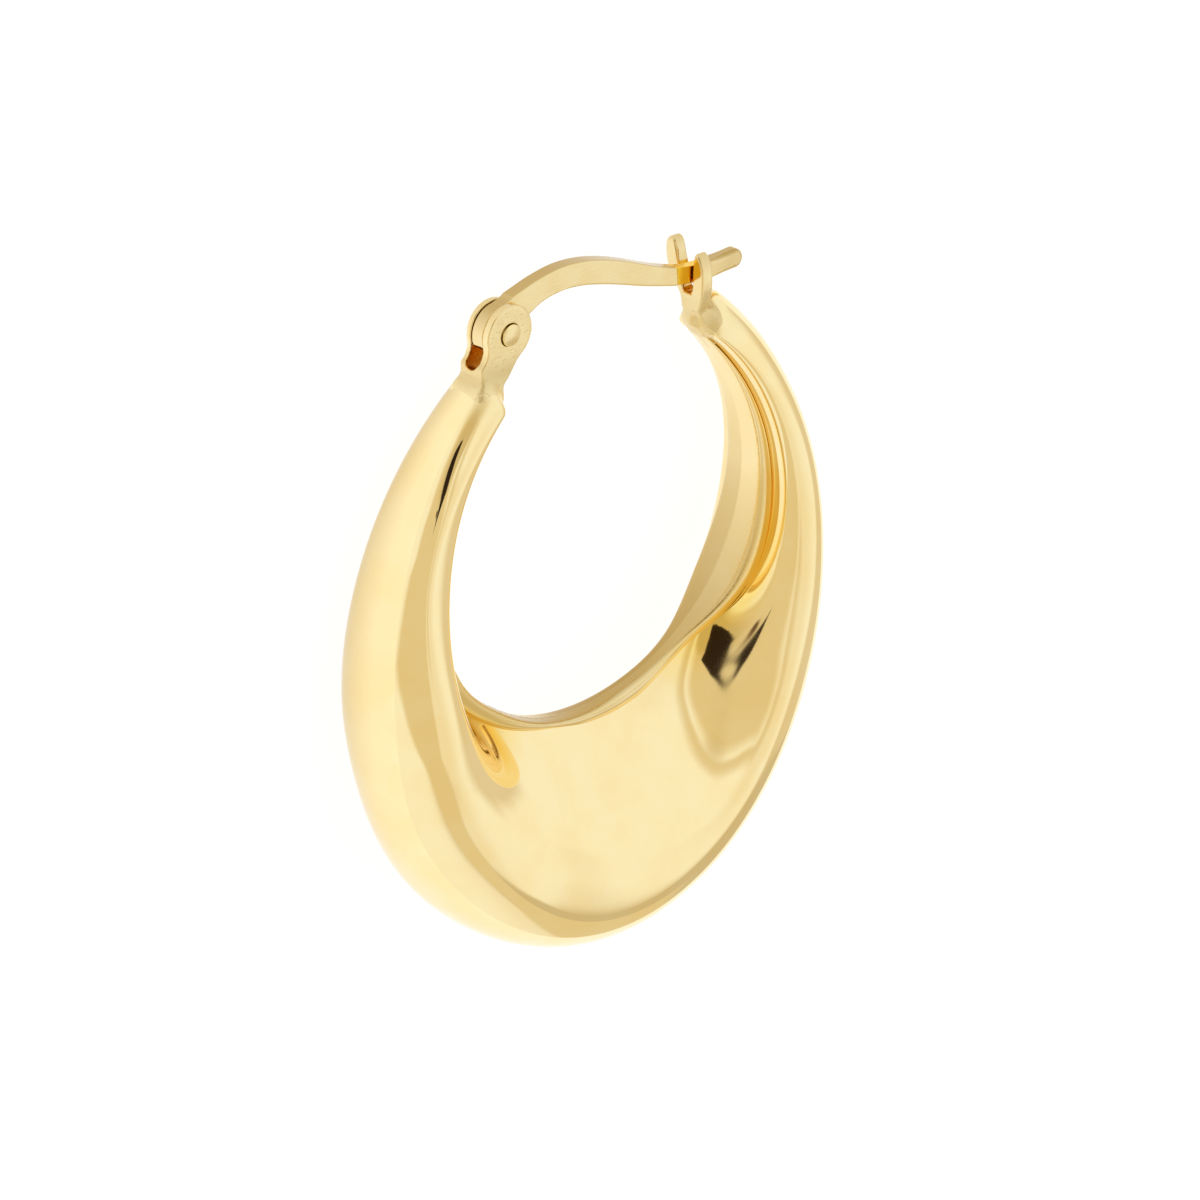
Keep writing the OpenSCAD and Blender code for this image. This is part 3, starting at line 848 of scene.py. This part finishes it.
def make_world():
    """Walls and panels round the camera, by degrees right of it and above it."""
    w = bpy.data.worlds.new("studio")
    bpy.context.scene.world = w
    w.use_nodes = True
    nt = w.node_tree
    nt.nodes.clear()
    n = Nodes(nt)
    out = nt.nodes.new("ShaderNodeOutputWorld")
    bg = nt.nodes.new("ShaderNodeBackground")
    nt.links.new(bg.outputs[0], out.inputs[0])
    gen = nt.nodes.new("ShaderNodeTexCoord").outputs["Generated"]

    def along(d):
        v = nt.nodes.new("ShaderNodeVectorMath")
        v.operation = "DOT_PRODUCT"
        n.put(v.inputs[0], gen)
        v.inputs[1].default_value = tuple(turn(d))
        return v.outputs["Value"]

    side, up = along(r2), along(u2)
    away = n.math("MULTIPLY", n.math("ARCCOSINE", along(cam_c)), 180 / math.pi)
    flat = n.math("SQRT", n.math("ADD", n.math("MULTIPLY", side, side),
                                 n.math("MULTIPLY_ADD", up, up, 1e-6)))
    per = n.math("DIVIDE", away, flat)
    ox, oy = n.math("MULTIPLY", side, per), n.math("MULTIPLY", up, per)

    def edge(v, rows):
        """The second column of a table where the first is v."""
        lo, hi = rows[0][0], rows[-1][0]
        c = nt.nodes.new("ShaderNodeValToRGB")
        n.put(c.inputs[0], n.math("MULTIPLY_ADD", v, 1 / (hi - lo), -lo / (hi - lo), clamp=True))
        e = c.color_ramp.elements
        while len(e) < len(rows):
            e.new(0.5)
        for k, (a, b) in enumerate(rows):
            e[k].position = (a - lo) / (hi - lo)
        for k, (a, b) in enumerate(rows):
            g = (b + 100) / 400
            e[k].color = (g, g, g, 1)
        return n.math("MULTIPLY_ADD", c.outputs[0], 400.0, -100.0)

    def both(a, b):
        return n.math("MULTIPLY", a, b)

    def oval(x, y, a, b, lean, inner, outer):
        t = math.radians(lean)
        dx, dy = n.math("SUBTRACT", ox, x), n.math("SUBTRACT", oy, y)
        u = n.math("ADD", n.math("MULTIPLY", dx, math.cos(t) / a), n.math("MULTIPLY", dy, math.sin(t) / a))
        v = n.math("SUBTRACT", n.math("MULTIPLY", dy, math.cos(t) / b), n.math("MULTIPLY", dx, math.sin(t) / b))
        r = n.math("SQRT", n.math("ADD", both(u, u), both(v, v)))
        return n.ramp(r, inner, outer, 1.0, 0.0)

    col = LIGHT + (1,)
    low = both(n.ramp(oy, -20, 0, 1.0, 0.0), n.ramp(ox, -20, 48))
    low = both(low, n.math("SUBTRACT", 1.0, both(n.ramp(ox, 52, 95), n.ramp(oy, -70, -55))))
    col = n.mix(low, col, LIGHT_LOW + (1,))
    beyond = n.math("SUBTRACT", ox, edge(oy, FAR_RIGHT))
    col = n.mix(n.ramp(beyond, -8, 6), col, FAR + (1,))
    line = both(n.ramp(n.math("ABSOLUTE", beyond), 2, 7, 1.0, 0.0), n.ramp(oy, -84, -74, 1.0, 0.0))
    col = n.mix(line, col, LINE + (1,))
    band = both(n.ramp(n.math("SUBTRACT", oy, edge(ox, BAND_LOW)), -6, 10),
                n.ramp(n.math("SUBTRACT", oy, edge(ox, BAND_TOP)), -3, 3, 1.0, 0.0))
    col = n.mix(both(band, n.ramp(ox, -10, 20)), col, OLIVE + (1,))
    wall = both(n.ramp(n.math("SUBTRACT", ox, edge(oy, WALL_LEFT)), -5, 5),
                n.ramp(n.math("SUBTRACT", ox, edge(oy, WALL_RIGHT)), -4, 5, 1.0, 0.0))
    col = n.mix(both(wall, n.ramp(oy, 26, 44, 1.0, 0.0)), col, TAN + (1,))
    past = n.math("SUBTRACT", ox, edge(oy, WALL_RIGHT))
    rail = both(both(n.ramp(past, 3, 7), n.ramp(past, 8, 18, 1.0, 0.0)), n.ramp(oy, -40, -28))
    col = n.mix(both(rail, n.ramp(oy, 20, 34, 1.0, 0.0)), col, RAIL + (1,))
    col = n.mix(oval(5, 14, 17, 15, 0, 0.75, 1.15), col, HALO + (1,))
    col = n.mix(oval(1.2, -3.3, 0.9, 2.7, 60, 0.7, 1.2), col, STRIP + (1,))
    body = both(n.ramp(n.math("SUBTRACT", ox, edge(oy, [r[:2] for r in PANEL])), -0.35, 0.35),
                n.ramp(n.math("SUBTRACT", ox, edge(oy, [r[::2] for r in PANEL])), -0.35, 0.35, 1.0, 0.0))
    body = both(body, n.math("LESS_THAN", n.math("ABSOLUTE", n.math("SUBTRACT", oy, 3.6)), 13.8))
    col = n.mix(body, col, DARK + (1,))
    n.put(bg.inputs["Color"], col)
    bg.inputs["Strength"].default_value = 1.0
    return w


make_world()

bpy.context.scene.view_settings.view_transform = "Standard"
bpy.context.scene.view_settings.look = "None"

bpy.context.view_layer.update()
